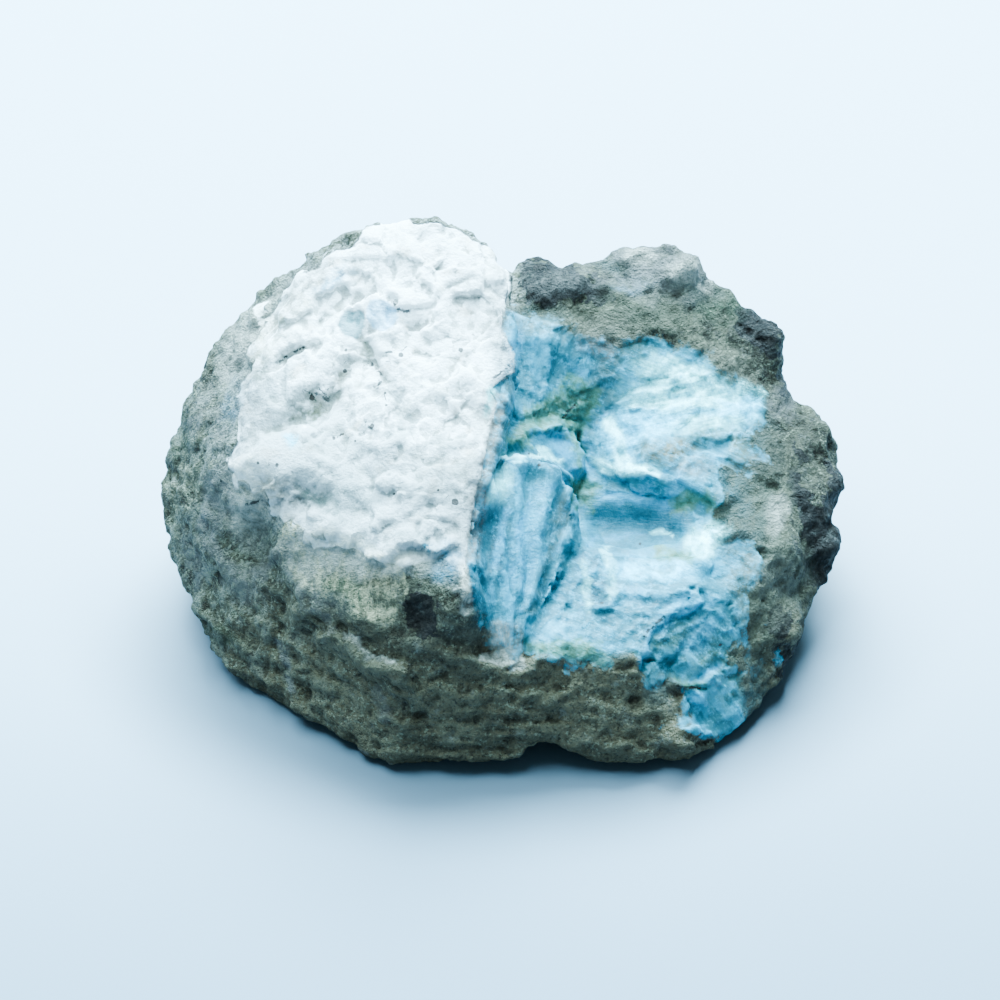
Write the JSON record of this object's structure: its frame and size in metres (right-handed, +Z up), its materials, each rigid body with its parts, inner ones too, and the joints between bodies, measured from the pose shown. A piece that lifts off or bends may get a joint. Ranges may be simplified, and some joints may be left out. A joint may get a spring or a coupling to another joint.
{
  "type": "rough larimar stone",
  "caption": "Palm-sized broken lump of pale blue larimar with a tall white crusted block, in grey-green basalt, resting on its uneven underside.",
  "frame": {"origin": "on the floor, under the middle of the stone's box", "axes": "+X along the length, from the tall white block to the low blue side; +Z up; -Y towards the broken front face"},
  "size_m": [0.081, 0.062, 0.0386],
  "materials": {
    "stone": "rough broken stone: matt grey-green basalt with charcoal patches, chalky white crust and silky to waxy pale blue larimar"
  },
  "bodies": {
    "root": {"rough_larimar": "stone"}
  },
  "joints": []
}
